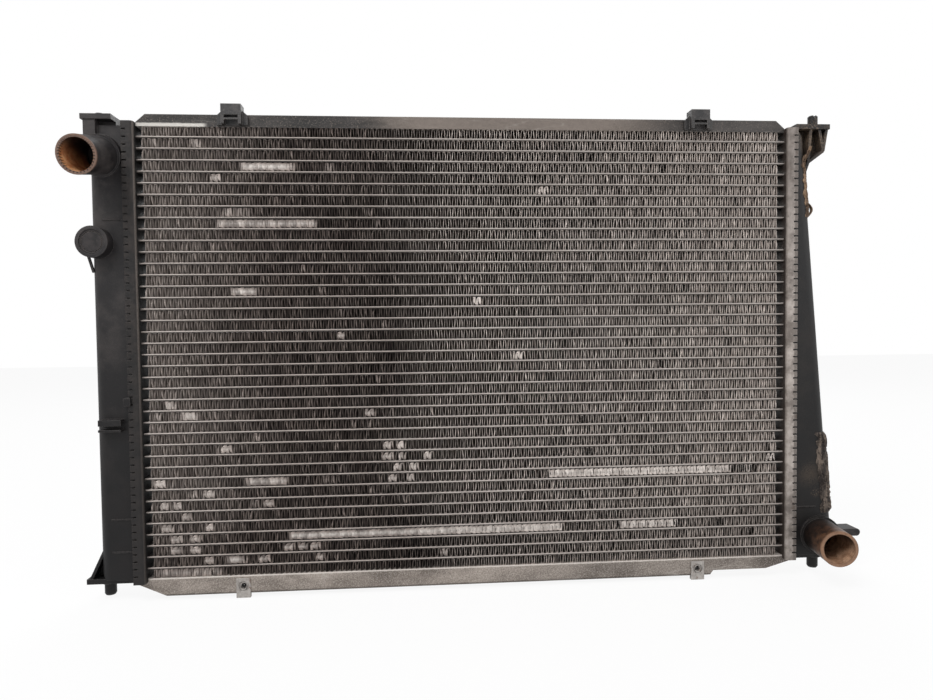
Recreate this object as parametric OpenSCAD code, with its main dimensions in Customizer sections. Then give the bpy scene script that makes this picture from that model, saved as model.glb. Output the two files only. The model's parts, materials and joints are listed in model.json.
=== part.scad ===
// Crossflow car radiator. A brazed aluminium core of flat tubes and folded fin
// strips runs between two aluminium headers. A moulded plastic tank is crimped
// into each header over a rubber gasket. X runs along the tubes, Y through the
// core (the hose necks point to -Y), Z up. The origin lies midway between the
// two lower mounting pins, in the plane of the pads they stand on.

/* [Core] */
// Number of flat tubes in the stack
tube_count = 39; // [20:1:50]
// Thickness of one flat tube
tube_t = 2; // [1.6:0.1:2.6]
// Sheet thickness of a tube's wall
tube_wall = 0.4; // [0.3:0.05:0.6]
// Space between two tubes, filled by one fin strip
fin_h = 8; // [6:0.5:10]
// Waves in one fin strip
fin_waves = 24; // [12:1:30]
// Sheet thickness of a fin strip
fin_sheet = 0.4; // [0.3:0.1:1]
// Half the width of the flat crest of a fin's wave
crest = 1; // [0.5:0.1:1.5]
// Bare tube between the end of a fin strip and the header
fin_gap = 6; // [2:0.5:10]
// Clear width between the two headers
core_w = 585; // [480:1:720]
// Depth of the core from front to back
core_d = 26; // [20:1:27]
// Length of tube that passes into a header
tube_entry = 5; // [3:0.5:6]

/* [Headers] */
// Overall width of a header, front to back
header_w = 40; // [40:1:54]
// Overall depth of a header along the tubes
header_depth = 10; // [9:0.5:14]
// Sheet thickness of a header
header_t = 1.5; // [1.2:0.1:2]
// Rounding of a header's long edges on the core side
header_r = 3; // [2:0.5:4]
// Reach of a header beyond the last fin strip
header_over = 3; // [3:0.5:8]
// Distance from one crimp tab to the next
tab_pitch = 6.6; // [5:0.1:12]
// Width of the slit between two crimp tabs
tab_slit = 1.4; // [1:0.1:2]
// Length of the slit between two crimp tabs
tab_len = 4; // [2:0.5:5]
// Width that a crimped lip covers on the tank's foot
lip_w = 1.8; // [1.5:0.1:2.2]
// Thickness of the gasket once it is squeezed
gasket_t = 2; // [1.5:0.1:3]
// Width of the gasket
gasket_w = 4.2; // [3:0.1:4.8]

/* [Tanks] */
// Wall of a plastic tank
tank_wall = 3; // [2.5:0.1:4]
// Rounding of a tank's long outer edges
tank_r = 9; // [6:0.5:12]
// Chamfer of a tank's outer ends
tank_chamfer = 6; // [3:0.5:8]
// Reach of the inlet tank beyond the header's core side
inlet_tank_x = 39.5; // [36:0.5:60]
// Reach of the outlet tank at its top
outlet_top_x = 18.5; // [17:0.5:30]
// Reach of the outlet tank at its bottom
outlet_bottom_x = 51; // [46:0.5:60]

/* [Hose necks] */
// Outside radius of a hose neck
neck_r = 16; // [14:0.5:18]
// Wall of a hose neck
neck_wall = 2.6; // [2:0.1:4]
// Length of a hose neck in front of its tank
neck_len = 45.5; // [34:0.5:60]
// Extra radius of the thick root of a hose neck
root_extra = 2; // [1:0.5:2]
// Length of the thick root in front of the tank
root_len = 4; // [2:0.5:10]
// Distance from the header to the inlet's axis
inlet_x = 28.5; // [28.5:0.5:34]
// Distance of the inlet's axis below the end of the core
inlet_drop = 26.5; // [24:0.5:60]
// Downward tilt of the inlet
inlet_tilt = 12; // [0:1:14]
// Distance from the header to the outlet's axis
outlet_x = 34.5; // [30:0.5:37]
// Distance of the outlet's axis above the end of the core
outlet_rise = 20; // [19:0.5:30]
// Tilt of the outlet towards the core
outlet_tilt = 10; // [0:1:12]

/* [Blanked port] */
// Outside radius of the port's boss
port_r = 13.5; // [12.5:0.5:15]
// Radius of the port's hole
port_hole_r = 10.6; // [8:0.1:11]
// Height of the boss in front of the tank
port_len = 12.5; // [9:0.5:14]
// Distance from the header to the port's axis
port_x = 33; // [28:0.5:34]
// Distance of the port's axis below the end of the core
port_drop = 101.5; // [75:0.5:130]
// Thickness of the plug's head
port_head_t = 4; // [3:0.5:5]
// Radius of the plug's spigot
port_spigot_r = 8; // [5:0.1:8]

/* [Drain] */
// Outside radius of the drain boss
drain_r = 9.5; // [9:0.5:12]
// Radius of the drain plug's shank
drain_shank_r = 5; // [3:0.1:5.4]
// Height of the drain boss beyond the tank
drain_boss = 6; // [5:0.5:10]
// Distance of the drain's axis above the end of the core
drain_rise = 18; // [15:0.5:24]
// Length of the drain plug's wing
wing_len = 22.5; // [14:0.5:28]
// Width of the drain plug's wing
wing_w = 17; // [12:0.5:20]
// Thickness of the drain plug's wing
wing_t = 7; // [4:0.5:8]

/* [Mounting pins] */
// Distance from the header to each lower pin
pin_out = 37.5; // [34:0.5:43]
// Distance from the header to each upper pin
upper_pin_out = 35; // [32:0.5:39]
// Radius of a lower pin
pin_r = 5; // [4:0.1:6]
// Length of a lower pin below its pad
pin_len = 10.5; // [6:0.5:16]
// Radius of an upper pin
upper_pin_r = 4.5; // [3.5:0.1:5]
// Length of the whole upper pin above its pad
upper_pin_len = 9.5; // [6:0.5:14]
// Length left of the worn upper pin above its pad
worn_pin_len = 4.5; // [2:0.5:6]
// Thickness of a mounting foot
foot_t = 4.5; // [3:0.5:6]
// Reach of a lower foot beyond its pin
foot_reach = 15; // [12:0.5:24]
// Reach of the outlet tank's upper foot beyond its pin
upper_foot_reach = 9.5; // [8:0.5:20]
// Reach of the inlet tank's upper foot beyond its pin
worn_foot_reach = 7.5; // [7.5:0.5:20]
// Half the depth of a mounting foot
foot_half = 13; // [10:0.5:16]
// Thickness of a stiffening rib
rib_t = 2.5; // [1.5:0.5:4]

/* [Side plates] */
// Sheet thickness of a side plate
plate_t = 1.5; // [1:0.1:2]
// Flange height of the upper side plate
top_flange = 9; // [6:0.5:12]
// Flange height of the lower side plate
bottom_flange = 14.5; // [13:0.5:18]
// Height cut off the lower plate's flanges beyond the right fixing
flange_step = 4; // [1:0.5:6]

/* [Shroud fixings] */
// Distance from the middle to each fan shroud fixing
fixing_x = 209.5; // [120:0.5:230]
// Width of a shroud clip's block
clip_w = 17.2; // [15:0.1:22]
// Height of a clip's block above the plate's flange
clip_rise = 7.5; // [5:0.5:12]
// Width of a clip's slot
slot_w = 12; // [8:0.5:12]
// Depth of a clip's slot, front to back
slot_d = 4.8; // [4.4:0.1:7]
// Width of a clip nut
nut_w = 12.5; // [11:0.5:16]
// Sheet thickness of a clip nut
nut_t = 1; // [0.6:0.1:1.2]
// Radius of a clip nut's threaded hole
nut_hole_r = 2.6; // [1.6:0.1:2.6]
// Distance of the clip nut's hole below the plate's web
nut_drop = 7.8; // [6:0.1:8.5]
// Reach of a clip nut below the plate's edge
nut_hang = 3.5; // [1.5:0.5:6]

/* [Seal strips] */
// Thickness of the foam strip on the outlet tank
strip_t = 1.6; // [1:0.1:2.5]
// Length of the upper remnant
upper_strip_len = 36; // [20:1:50]
// Length of the lower remnant
lower_strip_len = 72; // [40:1:76]

/* [Hidden] */
$fn = 48;

// Clearances: a brazed joint, two parts that touch, a pressed or turning fit
braze_gap = 0.05;
touch_gap = 0.3;
fit_gap = 0.05;
cut = 1;

pitch = tube_t + fin_h;
core_h = tube_count * tube_t + (tube_count + 1) * fin_h;
half_h = core_h / 2;
header_x = core_w / 2;
header_half_h = half_h + header_over;
pin_x = header_x + pin_out;
upper_pin_x = header_x + upper_pin_out;

// Inside a header, going outwards: sheet, gasket, tank foot, crimped lip
gasket_x = header_x + header_t;
foot_x = gasket_x + gasket_t;
lip_x = header_x + header_depth - header_t;
pocket_half_w = header_w / 2 - header_t;
pocket_half_h = header_half_h - header_t;
foot_half_w = pocket_half_w - touch_gap;
foot_half_h = pocket_half_h - touch_gap;
tank_half_w = pocket_half_w - lip_w - touch_gap / 2;
tank_half_h = pocket_half_h - lip_w - touch_gap / 2;
cavity_half_w = tank_half_w - tank_wall;
cavity_half_h = tank_half_h - tank_wall;
tank_front = -tank_half_w;

// Mounting feet and pads; a lower pad's face is the plane of the origin
pad_h = 3;
pad_r = 8.5;
pad_top_r = 6.5;
upper_pad_h = 1.5;
lower_foot_z = -(header_half_h + touch_gap);
upper_foot_z = header_half_h + 0.5;
seat_z = lower_foot_z - pad_h;

neck_bore_r = neck_r - neck_wall;
root_r = neck_r + root_extra;
neck_depth = 12;
inlet_z = half_h - inlet_drop;
outlet_z = outlet_rise - half_h;
port_z = half_h - port_drop;
drain_z = drain_rise - half_h;
outlet_lean = atan((outlet_bottom_x - outlet_top_x) / (2 * tank_half_h));
drain_face = header_x + (outlet_top_x + outlet_bottom_x) / 2
             - drain_z * tan(outlet_lean);
drain_end = drain_face + drain_boss;
seal_r = 1.2;
seal_mid_r = drain_shank_r + seal_r + 0.4;
seal_seat_r = seal_mid_r + seal_r + touch_gap;
drain_head_t = 2.5;

plate_z = half_h + plate_t;
flange_y = core_d / 2 - plate_t;
top_edge_z = plate_z + top_flange;
bottom_edge_z = -plate_z - bottom_flange;
nut_z = -plate_z - nut_drop;
flange_hole_r = nut_hole_r + 2;
rail_x = header_x + header_depth;

// Everything below is drawn about the middle of the core and raised at the end
module raised() translate([0, 0, -seat_z]) children();

// ---- helpers ----

// An outline drawn in X and Z, given a depth d about the middle plane
module slab(d) rotate([90, 0, 0]) linear_extrude(d, center = true) children();

// A straight rib t thick between two points of an outline
module rib(p, q, t = rib_t) {
    run = q - p;
    translate(p) rotate(atan2(run[1], run[0]))
        translate([0, -t / 2]) square([norm(run), t]);
}

// A rectangular frame at x, t thick, with outer and inner half sizes
module frame(x, t, outer, inner) {
    difference() {
        translate([x, -outer[0], -outer[1]]) cube([t, 2 * outer[0], 2 * outer[1]]);
        translate([x - cut, -inner[0], -inner[1]])
            cube([t + 2 * cut, 2 * inner[0], 2 * inner[1]]);
    }
}

// Cross-section of a flat tube with round edges, w by t
module tube_section(w, t) {
    square([t, w - t], center = true);
    for (s = [-1, 1]) translate([0, s * (w / 2 - t / 2)]) circle(t / 2);
}

// ---- core ----

// One flat tube along X, cut down to its wall
module flat_tube() {
    rotate([0, 90, 0]) linear_extrude(core_w + 2 * tube_entry, center = true)
        difference() {
            tube_section(core_d, tube_t);
            tube_section(core_d - 2 * tube_wall, tube_t - 2 * tube_wall);
        }
}

module core_tubes() {
    color([0.62, 0.59, 0.55])
        for (i = [0 : tube_count - 1])
            translate([0, 0, (i - (tube_count - 1) / 2) * pitch]) flat_tube();
}

// One folded fin strip: a zigzag sheet with flat crests brazed to the tubes
module fin_strip() {
    length = core_w - 2 * fin_gap;
    wave = length / fin_waves;
    top = fin_h / 2 - braze_gap;
    low = fin_sheet - top;
    // Each wave: up the front slope, over the crest, down and along the trough
    upper = [for (i = [0 : fin_waves - 1]) let (x = i * wave - length / 2)
        each [[x, low], [x + wave / 2 - crest, top], [x + wave / 2 + crest, top]]];
    lower = [for (i = [fin_waves - 1 : -1 : 0]) let (x = i * wave - length / 2)
        each [[x + wave / 2, top - fin_sheet], [x + crest, -top], [x, -top]]];
    slab(core_d - 2 * fin_sheet)
        polygon(concat(upper, [[length / 2, low], [length / 2, -top],
                               [length / 2 - crest, -top]], lower));
}

module fin_strips() {
    color([0.32, 0.29, 0.27])
        for (i = [0 : tube_count])
            translate([0, 0, (i - tube_count / 2) * pitch]) fin_strip();
}

// ---- headers and gaskets, drawn for the +X side ----

// Tray outline in X and Y with its core-side edges rounded
module tray_outline() {
    half = header_w / 2;
    translate([header_x + header_r, -half])
        square([header_depth - header_r, header_w]);
    translate([header_x, header_r - half]) square([header_r, header_w - 2 * header_r]);
    for (s = [-1, 1]) translate([header_x + header_r, s * (half - header_r)])
        circle(header_r);
}

module header() {
    slits = floor(2 * header_half_h / tab_pitch);
    difference() {
        translate([0, 0, -header_half_h])
            linear_extrude(2 * header_half_h) tray_outline();
        // the pocket that takes the gasket and the tank's foot
        translate([gasket_x, -pocket_half_w, -pocket_half_h])
            cube([lip_x - gasket_x, 2 * pocket_half_w, 2 * pocket_half_h]);
        // the mouth inside the crimped lip
        translate([lip_x - cut, lip_w - pocket_half_w, lip_w - pocket_half_h])
            cube([header_t + 2 * cut, 2 * (pocket_half_w - lip_w),
                  2 * (pocket_half_h - lip_w)]);
        // one slot for each tube
        for (i = [0 : tube_count - 1])
            translate([gasket_x, 0, (i - (tube_count - 1) / 2) * pitch])
                rotate([0, 90, 0])
                    linear_extrude(3 * header_t, center = true)
                        tube_section(core_d + 2 * braze_gap, tube_t + 2 * braze_gap);
        // slits that part the crimp tabs
        for (i = [1 : slits - 1])
            translate([header_x + header_depth - tab_len, -header_w / 2 - cut,
                       (i - slits / 2) * tab_pitch - tab_slit / 2])
                cube([tab_len + cut, header_w + 2 * cut, tab_slit]);
    }
}

module inlet_header() color([0.30, 0.27, 0.25]) mirror([1, 0, 0]) header();
module outlet_header() color([0.68, 0.64, 0.60]) header();

module gasket() {
    frame(gasket_x, gasket_t, [foot_half_w, foot_half_h],
          [foot_half_w - gasket_w, foot_half_h - gasket_w]);
}

module inlet_gasket() color([0.08, 0.08, 0.08]) mirror([1, 0, 0]) gasket();
module outlet_gasket() color([0.08, 0.08, 0.08]) gasket();

// ---- tanks, drawn for the +X side ----

// A bar with two round long edges, leaning so that it follows a tank's outer face
module leaning_bar(middle, lean, half_w, r) {
    long = 2 * tank_half_h + 60;
    deep = 120;
    translate([middle, 0, 0]) rotate([0, -lean, 0])
        linear_extrude(long, center = true) {
            translate([-deep, -half_w]) square([deep - r, 2 * half_w]);
            translate([-deep, r - half_w]) square([deep, 2 * (half_w - r)]);
            for (s = [-1, 1]) translate([-r, s * (half_w - r)]) circle(r);
        }
}

// A tank's body, shrunk by inset: inset 0 is the outside, tank_wall the cavity
module tank_body(top_x, bottom_x, inset) {
    h = tank_half_h - inset;
    c = tank_chamfer;
    start = inset > 0 ? foot_x - cut : foot_x;
    lean = atan((bottom_x - top_x) / (2 * tank_half_h));
    middle = (top_x + bottom_x) / 2 - inset / cos(lean);
    // the outer face at a height, so that the chamfers meet it
    function face(z) = middle - z * tan(lean);
    intersection() {
        slab(2 * tank_half_w) polygon([
            [start, -h], [face(-h) - c, -h], [face(c - h), c - h],
            [face(h - c), h - c], [face(h) - c, h], [start, h]]);
        leaning_bar(middle, lean, tank_half_w - inset, tank_r - inset);
    }
}

// The foot that the header's lip clamps on the gasket
module tank_foot() {
    frame(foot_x, lip_x - touch_gap - foot_x, [foot_half_w, foot_half_h],
          [cavity_half_w, cavity_half_h]);
}

// Turns +Z to the way a neck points: -Y, tilted down or towards the core
module inlet_place()
    translate([header_x + inlet_x, tank_front, inlet_z])
        rotate([90 + inlet_tilt, 0, 0]) children();
module outlet_place()
    translate([header_x + outlet_x, tank_front, outlet_z])
        rotate([0, 0, -outlet_tilt]) rotate([90, 0, 0]) children();

// A neck with its thick root, and the bore through both
module neck_solid() {
    translate([0, 0, -neck_depth]) cylinder(r = neck_r, h = neck_depth + neck_len);
    translate([0, 0, -neck_depth]) cylinder(r = root_r, h = neck_depth + root_len);
}
module neck_bore() {
    translate([0, 0, tank_wall - neck_depth])
        cylinder(r = neck_bore_r, h = neck_depth + neck_len);
}

// A lower foot with its wedge, pad and pin; face_x is the tank's side there
module lower_mount(face_x) {
    outer = pin_x + foot_reach;
    wedge_h = 25;
    inner = rail_x + touch_gap;
    translate([inner, -foot_half, lower_foot_z])
        cube([outer - inner, 2 * foot_half, foot_t]);
    translate([rail_x + 2, -foot_half, lower_foot_z])
        cube([face_x - tank_chamfer - rail_x, 2 * foot_half,
              -tank_half_h - lower_foot_z + tank_wall / 2]);
    // the flared wall and the web behind it
    root = [face_x - rib_t, lower_foot_z + foot_t + wedge_h];
    tip = [outer - rib_t, lower_foot_z + foot_t / 2];
    slab(2 * foot_half - 2) rib(root, tip);
    slab(rib_t) polygon([root, tip, [face_x - tank_chamfer, tip[1]],
                         [face_x - tank_chamfer, root[1]]]);
    translate([pin_x, 0, lower_foot_z]) mirror([0, 0, 1]) {
        cylinder(r1 = pad_r, r2 = pad_top_r, h = pad_h);
        cylinder(r = pin_r, h = pad_h + pin_len - 1.5);
        translate([0, 0, pad_h + pin_len - 1.5]) cylinder(r1 = pin_r, r2 = pin_r - 1, h = 1.5);
    }
}

// An upper pin on its pad; a slotted one ends in two prongs
module upper_pin(len, slotted) {
    prong_gap = 2.6;
    translate([upper_pin_x, 0, upper_foot_z + foot_t]) difference() {
        union() {
            cylinder(r1 = pad_top_r + 1, r2 = pad_top_r, h = upper_pad_h);
            cylinder(r = upper_pin_r, h = upper_pad_h + len - 1);
            translate([0, 0, upper_pad_h + len - 1])
                cylinder(r1 = upper_pin_r, r2 = upper_pin_r - 1, h = 1);
        }
        if (slotted)
            translate([-prong_gap / 2, -2 * upper_pin_r, upper_pad_h + len - 3])
                cube([prong_gap, 4 * upper_pin_r, 4]);
    }
}

// Shallow moulding lines across a tank's front face, at the given heights
module mould_lines(heights, reach) {
    proud = 0.7;
    for (z = heights)
        translate([rail_x + touch_gap, tank_front - proud, z])
            cube([reach, 2 * proud, 1.2]);
}

// A cable clip on the tank's front: two shelves joined by a half-height front
module cable_clip(z) {
    w = 19;
    deep = 8;
    tall = 10.5;
    shelf = 2;
    translate([rail_x + 5, tank_front - deep, z]) {
        cube([w, deep + 1, shelf]);
        translate([0, 0, tall - shelf]) cube([w, deep + 1, shelf]);
        translate([0, 0, tall / 2]) cube([w, shelf, tall / 2]);
    }
}

// A locating tab that reaches from the tank over the crimped edge
module locating_tab(z) {
    over = header_w / 2 + touch_gap;
    translate([rail_x - 2.5, -over - 1.6, z]) cube([6, 1.6, 7]);
    translate([rail_x + touch_gap, -over - 1.6, z])
        cube([3.2, over + 2.6 + tank_front, 7]);
}

module inlet_upper_mount() {
    inner = rail_x + 7;
    outer = upper_pin_x + worn_foot_reach;
    front = -foot_half - 9;
    rise_x = header_x + inlet_x;
    translate([inner, front, upper_foot_z])
        cube([outer - inner, foot_half - front, foot_t]);
    // ribs between the tank's end and the foot
    translate([inner, -foot_half + 2, tank_half_h - tank_wall / 2])
        cube([header_x + inlet_tank_x - tank_chamfer - inner, 2 * foot_half - 4,
              upper_foot_z - tank_half_h + tank_wall]);
    slab(rib_t) polygon([[header_x + inlet_tank_x - 2, inlet_z],
                         [outer - 2, upper_foot_z + 1],
                         [inner, upper_foot_z + 1], [inner, inlet_z]]);
    // the riser from the inlet's root up to the foot
    translate([rise_x + 2, front + 1, inlet_z + neck_bore_r + 1])
        cube([10, tank_front - front + 1, upper_foot_z - inlet_z - neck_bore_r]);
    upper_pin(worn_pin_len, false);
}

module outlet_upper_mount() {
    inner = rail_x + 2;
    outer = upper_pin_x + upper_foot_reach;
    flat = upper_foot_z + rib_t / 2;
    knee = [outer - 5.5, upper_foot_z - 20];
    heel = [header_x + outlet_top_x + 6, upper_foot_z - 30.5];
    root = [header_x + outlet_top_x + 1.5, upper_foot_z - 43];
    translate([inner, -foot_half, upper_foot_z])
        cube([outer - inner, 2 * foot_half, foot_t]);
    translate([inner, -foot_half + 2, tank_half_h - tank_wall / 2])
        cube([outlet_top_x - header_depth - tank_chamfer, 2 * foot_half - 4,
              upper_foot_z - tank_half_h + tank_wall]);
    // the bracket below the foot: an outer wall with ribs across it, on one web
    slab(2 * foot_half - 3) {
        rib([outer - 2, flat], knee);
        rib(knee, heel);
        rib(heel, root);
        rib([upper_pin_x, flat], knee);
        rib([upper_pin_x - 8, flat], heel);
    }
    slab(rib_t) polygon([[outer - 2, flat], knee, heel, root, [inner + 2, root[1]],
                         [inner + 2, flat]]);
    upper_pin(upper_pin_len, true);
}

module inlet_tank_solid() {
    x = header_x + inlet_tank_x;
    difference() {
        union() {
            tank_body(x, x, 0);
            tank_foot();
            inlet_place() neck_solid();
            // the boss of the blanked port and the strut that stays it
            translate([header_x + port_x, tank_front - port_len, port_z])
                rotate([-90, 0, 0]) cylinder(r = port_r, h = port_len + neck_depth);
            translate([0, tank_front + 4, 0]) slab(rib_t)
                rib([x - 1, port_z - 25], [header_x + port_x + port_r - 3, port_z - 8], 1.8);
            lower_mount(x);
            inlet_upper_mount();
            mould_lines([half_h - 82, 54 - half_h, 25 - half_h], 18);
            cable_clip(-66);
            locating_tab(-44);
        }
        tank_body(x, x, tank_wall);
        inlet_place() neck_bore();
        translate([header_x + port_x, tank_front - port_len - cut, port_z])
            rotate([-90, 0, 0]) cylinder(r = port_hole_r, h = port_len + neck_depth - 2);
    }
}

module inlet_tank() color([0.10, 0.10, 0.10]) mirror([1, 0, 0]) inlet_tank_solid();

module outlet_tank() {
    top_x = header_x + outlet_top_x;
    bottom_x = header_x + outlet_bottom_x;
    color([0.11, 0.11, 0.11]) difference() {
        union() {
            tank_body(top_x, bottom_x, 0);
            tank_foot();
            outlet_place() neck_solid();
            translate([foot_x + 20, 0, drain_z]) rotate([0, 90, 0])
                cylinder(r = drain_r, h = drain_end - foot_x - 20);
            lower_mount(bottom_x);
            outlet_upper_mount();
            mould_lines([46 - half_h], 20);
        }
        tank_body(top_x, bottom_x, tank_wall);
        outlet_place() neck_bore();
        // the drain's threaded hole and the seat of its seal
        translate([foot_x + 20, 0, drain_z]) rotate([0, 90, 0])
            cylinder(r = drain_shank_r + fit_gap, h = drain_end);
        translate([drain_end - 2 * seal_r, 0, drain_z]) rotate([0, 90, 0])
            cylinder(r = seal_seat_r, h = 3 * seal_r);
    }
}

// ---- side plates ----

// A channel: the outline given a depth, less the space between its flanges
module channel(z0, z1) {
    difference() {
        slab(core_d) children();
        translate([-core_w, -flange_y, z0]) cube([2 * core_w, 2 * flange_y, z1 - z0]);
    }
}

module top_side_plate() {
    x = header_x;
    ramp = 8;
    color([0.28, 0.27, 0.27]) channel(plate_z, top_edge_z + cut)
        polygon([[-x, half_h], [x, half_h], [x, plate_z + 2],
                 [x - ramp, top_edge_z], [ramp - x, top_edge_z], [-x, plate_z + 2]]);
}

module bottom_side_plate() {
    x = header_x;
    under = -header_half_h - touch_gap;
    reach = rail_x - 1;
    ramp = 16;
    step_x = min(fixing_x + 15.5, x - 2 * ramp);
    color([0.66, 0.63, 0.60]) difference() {
        channel(bottom_edge_z - cut, -plate_z)
            polygon([[-x, -half_h], [x, -half_h], [x, under], [reach, under],
                     [reach, under - 1.5], [x - ramp, bottom_edge_z + flange_step],
                     [step_x, bottom_edge_z + flange_step],
                     [step_x - 3, bottom_edge_z],
                     [ramp - x, bottom_edge_z], [-reach, under - 1.5],
                     [-reach, under], [-x, under]]);
        for (s = [-1, 1]) translate([s * fixing_x, 0, nut_z]) rotate([90, 0, 0])
            cylinder(r = flange_hole_r, h = core_d);
    }
}

// ---- shroud fixings ----

// A plastic clip that straddles the upper plate's front flange; its slot takes
// a tongue of the fan shroud from above
module shroud_clip() {
    shoulder = 4.5;
    back = -flange_y + 3;
    front = -core_d / 2 - slot_d - 3;
    top = top_edge_z + clip_rise;
    low = half_h + 1;
    window = slot_w;
    difference() {
        union() {
            translate([0, (back - core_d / 2 - 2.5) / 2, 0])
                slab(back + core_d / 2 + 2.5) polygon([
                    [-clip_w / 2 - shoulder, low], [clip_w / 2 + shoulder, low],
                    [clip_w / 2 + shoulder, top_edge_z - 1], [clip_w / 2, top_edge_z + 3],
                    [-clip_w / 2, top_edge_z + 3], [-clip_w / 2 - shoulder, top_edge_z - 1]]);
            translate([-clip_w / 2, front, low]) cube([clip_w, back - front, top - low]);
        }
        // the groove that sits on the flange
        translate([-clip_w, -core_d / 2 - fit_gap, low - cut])
            cube([2 * clip_w, plate_t + 2 * fit_gap, top_edge_z + fit_gap - low + cut]);
        // the web of the side plate lies under the back half
        translate([-clip_w, -flange_y - fit_gap, low - cut])
            cube([2 * clip_w, core_d, plate_z + fit_gap - low + cut]);
        // the slot for the shroud's tongue
        translate([-slot_w / 2, front + 1.6, low - cut])
            cube([slot_w, slot_d, top - low + 2 * cut]);
        // the windows in the front wall, above and below one bar
        translate([-window / 2, front - cut, low - cut]) cube([window, 4, 4.5]);
        translate([-window / 2, front - cut, low + 5]) cube([window, 4, 2.6]);
    }
}

module shroud_clip_left() color([0.16, 0.16, 0.17]) translate([-fixing_x, 0, 0]) shroud_clip();
module shroud_clip_right() color([0.16, 0.16, 0.17]) translate([fixing_x, 0, 0]) shroud_clip();

// A folded sheet nut pushed up over the lower plate's front flange
module clip_nut() {
    front = -core_d / 2 - fit_gap - nut_t;
    inside = plate_t + 2 * fit_gap;
    low = bottom_edge_z - nut_hang - nut_t / 2;
    leaf = -plate_z - 1 - low;
    barrel_r = nut_hole_r + 1.4;
    barrel_h = 5;
    difference() {
        union() {
            translate([-nut_w / 2, front, low]) cube([nut_w, nut_t, leaf]);
            translate([-nut_w / 2, front + nut_t + inside, low]) cube([nut_w, nut_t, leaf]);
            translate([-nut_w / 2, front, low]) cube([nut_w, 2 * nut_t + inside, nut_t]);
            // the drawn barrel runs back from the front leaf, through the plate's hole
            translate([0, front + nut_t, nut_z]) rotate([-90, 0, 0])
                cylinder(r = barrel_r, h = inside + barrel_h);
        }
        translate([0, front - cut, nut_z]) rotate([-90, 0, 0])
            cylinder(r = nut_hole_r, h = 20);
        translate([0, front - cut, nut_z]) rotate([-90, 0, 0])
            cylinder(r = nut_hole_r + 0.8, h = nut_t + cut);
    }
}

module clip_nut_left() color([0.70, 0.70, 0.68]) translate([-fixing_x, 0, 0]) clip_nut();
module clip_nut_right() color([0.70, 0.70, 0.68]) translate([fixing_x, 0, 0]) clip_nut();

// ---- port plug, drain plug and their seals ----

// Places -Y features at the port's mouth; +Z points into the tank
module port_place()
    translate([-header_x - port_x, tank_front - port_len, port_z])
        rotate([-90, 0, 0]) children();

module port_plug() {
    sunk = 0.8;
    spigot = 5;
    ring_r = port_hole_r - 2.2;
    color([0.13, 0.13, 0.13]) port_place() difference() {
        union() {
            translate([0, 0, sunk])
                cylinder(r = port_hole_r - fit_gap, h = port_head_t);
            translate([0, 0, sunk]) cylinder(r = port_spigot_r, h = port_head_t + spigot);
        }
        // the shallow ring moulded in its face
        translate([0, 0, sunk - cut]) difference() {
            cylinder(r = ring_r + 0.6, h = cut + 0.6);
            cylinder(r = ring_r, h = cut + 0.6);
        }
    }
}

module port_seal() {
    color([0.05, 0.05, 0.05]) port_place() translate([0, 0, 0.8 + port_head_t + fit_gap])
        difference() {
            cylinder(r = port_hole_r - fit_gap, h = 2.4);
            translate([0, 0, -cut]) cylinder(r = port_spigot_r + fit_gap, h = 2.4 + 2 * cut);
        }
}

// Places +X features at the drain boss's end
module drain_place()
    translate([drain_end, 0, drain_z]) rotate([0, 90, 0]) children();

module drain_plug() {
    shank = drain_boss + 3;
    color([0.14, 0.13, 0.14]) drain_place() {
        translate([0, 0, -shank]) cylinder(r = drain_shank_r, h = shank + 1);
        translate([0, 0, touch_gap]) cylinder(r = drain_r - 0.5, h = drain_head_t);
        // a flat wing with a round end
        translate([-wing_t / 2, -wing_w / 2, drain_head_t])
            cube([wing_t, wing_w, wing_len - wing_t / 2]);
        translate([0, 0, drain_head_t + wing_len - wing_t / 2]) rotate([90, 0, 0])
            cylinder(d = wing_t, h = wing_w, center = true);
    }
}

module drain_seal() {
    color([0.05, 0.05, 0.05]) drain_place() translate([0, 0, -seal_r])
        rotate_extrude() translate([seal_mid_r, 0]) circle(seal_r);
}

// ---- foam strips on the outlet tank's outer front edge ----

// A strip of the given length, centred at height z, bent round the tank's edge
module edge_strip(z, length) {
    middle = header_x + (outlet_top_x + outlet_bottom_x) / 2;
    r = tank_r + fit_gap;
    color([0.42, 0.33, 0.24])
        translate([middle - z * tan(outlet_lean), 0, z]) rotate([0, -outlet_lean, 0])
            linear_extrude(length, center = true)
                translate([-tank_r, tank_r - tank_half_w]) intersection() {
                    difference() {
                        circle(r + strip_t);
                        circle(r);
                    }
                    translate([0, -r - strip_t]) square(r + strip_t);
                }
}

module seal_strip_upper() edge_strip(half_h - 42 - upper_strip_len / 2, upper_strip_len);
module seal_strip_lower() edge_strip(outlet_z + root_r + 3 + lower_strip_len / 2,
                                     lower_strip_len);

raised() core_tubes();
raised() fin_strips();
raised() inlet_header();
raised() outlet_header();
raised() inlet_gasket();
raised() outlet_gasket();
raised() inlet_tank();
raised() outlet_tank();
raised() top_side_plate();
raised() bottom_side_plate();
raised() shroud_clip_left();
raised() shroud_clip_right();
raised() clip_nut_left();
raised() clip_nut_right();
raised() port_plug();
raised() port_seal();
raised() drain_plug();
raised() drain_seal();
raised() seal_strip_upper();
raised() seal_strip_lower();
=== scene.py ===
import json
import math

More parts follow.
